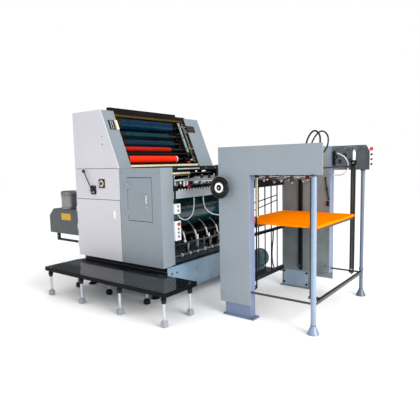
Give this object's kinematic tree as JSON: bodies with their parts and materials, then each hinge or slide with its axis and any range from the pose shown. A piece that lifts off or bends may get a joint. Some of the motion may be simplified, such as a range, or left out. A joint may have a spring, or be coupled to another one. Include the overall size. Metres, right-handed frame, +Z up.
{
  "type": "single colour sheet-fed offset printing press with feeder",
  "caption": "Sheet-fed offset printing press with a slanted inking unit, side doors, footboard, and a feeder with a chain-lifted pile board.",
  "frame": {"origin": "middle of the whole machine's footprint, on the floor", "axes": "+X along the paper travel towards the feeder, +Y away from the operator, +Z up"},
  "size_m": [3.671, 1.97, 1.883],
  "materials": {
    "pale_panel": "satin",
    "grey_blue_panel": "satin",
    "grey_blue_frame": "satin",
    "base_paint": "satin",
    "drive_grey": "satin",
    "black_steel": "satin",
    "bright_steel": "brushed",
    "leg_silver": "satin",
    "post_paint": "gloss",
    "ink_blue": "wet",
    "ink_red": "wet",
    "board_orange": "painted",
    "white_box": "satin",
    "hose_black": "matte",
    "hose_white": "satin",
    "pump_green": "painted",
    "wheel_black": "gloss"
  },
  "bodies": {
    "frame": {"base_frame": "base_paint", "press_feet": "black_steel", "near_side_frame": "grey_blue_frame", "far_side_frame": "grey_blue_frame", "near_upper_cabinet": "grey_blue_panel", "far_cabinet": "grey_blue_panel", "light_panels": "pale_panel", "near_lower_cabinet": "grey_blue_panel", "gear_cover": "grey_blue_panel", "rear_cover": "grey_blue_panel", "inner_panels": "black_steel", "control_plates": "black_steel", "ink_duct": "black_steel", "ink_guard_bars": "bright_steel", "end_bars": "black_steel", "feedboard": "bright_steel", "delivery_fingers": "bright_steel", "control_boxes": "white_box", "drive_housing": "drive_grey", "drive_motor": "drive_grey", "drive_bracket": "black_steel", "footboard": "black_steel", "footboard_legs": "leg_silver", "near_arm_cover": "grey_blue_panel", "near_column": "grey_blue_frame", "far_column": "grey_blue_frame", "far_arm_cover": "grey_blue_panel", "outer_posts": "post_paint", "tie_bars": "black_steel", "lift_chains": "black_steel", "lift_shafts": "bright_steel", "pile_grille": "black_steel", "pump": "pump_green", "suction_head": "black_steel", "pile_feeler": "bright_steel", "air_hose_long": "hose_black", "air_hose_short": "hose_black", "white_hose": "hose_white", "near_cable": "hose_white", "far_cable": "hose_white", "stop_cable": "hose_black"},
    "side_door": {"side_door": "pale_panel"},
    "gear_cover_hatch": {"gear_cover_hatch": "grey_blue_panel"},
    "operating_lever": {"operating_lever": "black_steel"},
    "handwheel": {"handwheel": "wheel_black"},
    "impression_cylinder": {"impression_cylinder": "bright_steel"},
    "tape_roller": {"tape_roller": "bright_steel"},
    "delivery_wheels": {"delivery_wheels": "bright_steel"},
    "pile_board": {"pile_board": "board_orange"},
    "ink_drum": {"ink_drum": "ink_blue"},
    "rider_roller": {"rider_roller": "ink_blue"},
    "form_roller": {"form_roller": "ink_blue"},
    "red_ink_roller": {"red_ink_roller": "ink_red"},
    "ink_duct_roller": {"ink_duct_roller": "ink_red"}
  },
  "joints": [
    {"name": "side_door_swing", "type": "hinge", "parent": "frame", "child": "side_door", "pos_m": [-0.9161, -0.545, 0.647], "axis": [0, 0, -1], "range_deg": [0, 100]},
    {"name": "hatch_swing", "type": "hinge", "parent": "frame", "child": "gear_cover_hatch", "pos_m": [-0.1205, -0.5686, 0.973], "axis": [0, 0, -1], "range_deg": [0, 110]},
    {"name": "lever_throw", "type": "hinge", "parent": "frame", "child": "operating_lever", "pos_m": [-0.6115, -0.5893, 1.05], "axis": [0, 1, 0], "range_deg": [-20, 60]},
    {"name": "handwheel_turn", "type": "hinge", "parent": "frame", "child": "handwheel", "pos_m": [0.9345, -0.502, 1.097], "axis": [0, 1, 0], "continuous": true},
    {"name": "impression_cylinder_turn", "type": "hinge", "parent": "frame", "child": "impression_cylinder", "pos_m": [-0.0095, 0.16, 0.8], "axis": [0, 1, 0], "continuous": true},
    {"name": "tape_roller_turn", "type": "hinge", "parent": "frame", "child": "tape_roller", "pos_m": [0.2805, 0.16, 1.21], "axis": [0, 1, 0], "continuous": true},
    {"name": "delivery_wheels_turn", "type": "hinge", "parent": "frame", "child": "delivery_wheels", "pos_m": [0.2555, 0.16, 0.402], "axis": [0, 1, 0], "continuous": true},
    {"name": "pile_lift", "type": "slide", "parent": "frame", "child": "pile_board", "axis": [0, 0, 1], "range_m": [-0.5, 0.3]},
    {"name": "ink_drum_turn", "type": "hinge", "parent": "frame", "child": "ink_drum", "pos_m": [-0.48756, 0.16, 1.728], "axis": [0, 1, 0], "continuous": true},
    {"name": "rider_roller_turn", "type": "hinge", "parent": "frame", "child": "rider_roller", "pos_m": [-0.40607, 0.16, 1.617], "axis": [0, 1, 0], "continuous": true},
    {"name": "form_roller_turn", "type": "hinge", "parent": "frame", "child": "form_roller", "pos_m": [-0.37343, 0.16, 1.53], "axis": [0, 1, 0], "continuous": true},
    {"name": "red_ink_roller_turn", "type": "hinge", "parent": "frame", "child": "red_ink_roller", "pos_m": [-0.33971, 0.16, 1.464], "axis": [0, 1, 0], "continuous": true},
    {"name": "ink_duct_roller_turn", "type": "hinge", "parent": "frame", "child": "ink_duct_roller", "pos_m": [-0.30922, 0.16, 1.356], "axis": [0, 1, 0], "continuous": true}
  ],
  "couplings": [
    {"joint": "impression_cylinder_turn", "follows": "handwheel_turn", "ratio": 0.25},
    {"joint": "tape_roller_turn", "follows": "handwheel_turn", "ratio": 3.8636},
    {"joint": "delivery_wheels_turn", "follows": "handwheel_turn", "ratio": 1.7708},
    {"joint": "ink_drum_turn", "follows": "handwheel_turn", "ratio": 0.7083},
    {"joint": "rider_roller_turn", "follows": "handwheel_turn", "ratio": -1.5741},
    {"joint": "form_roller_turn", "follows": "handwheel_turn", "ratio": 1.4167},
    {"joint": "red_ink_roller_turn", "follows": "handwheel_turn", "ratio": -1.7708},
    {"joint": "ink_duct_roller_turn", "follows": "handwheel_turn", "ratio": 0.12}
  ]
}
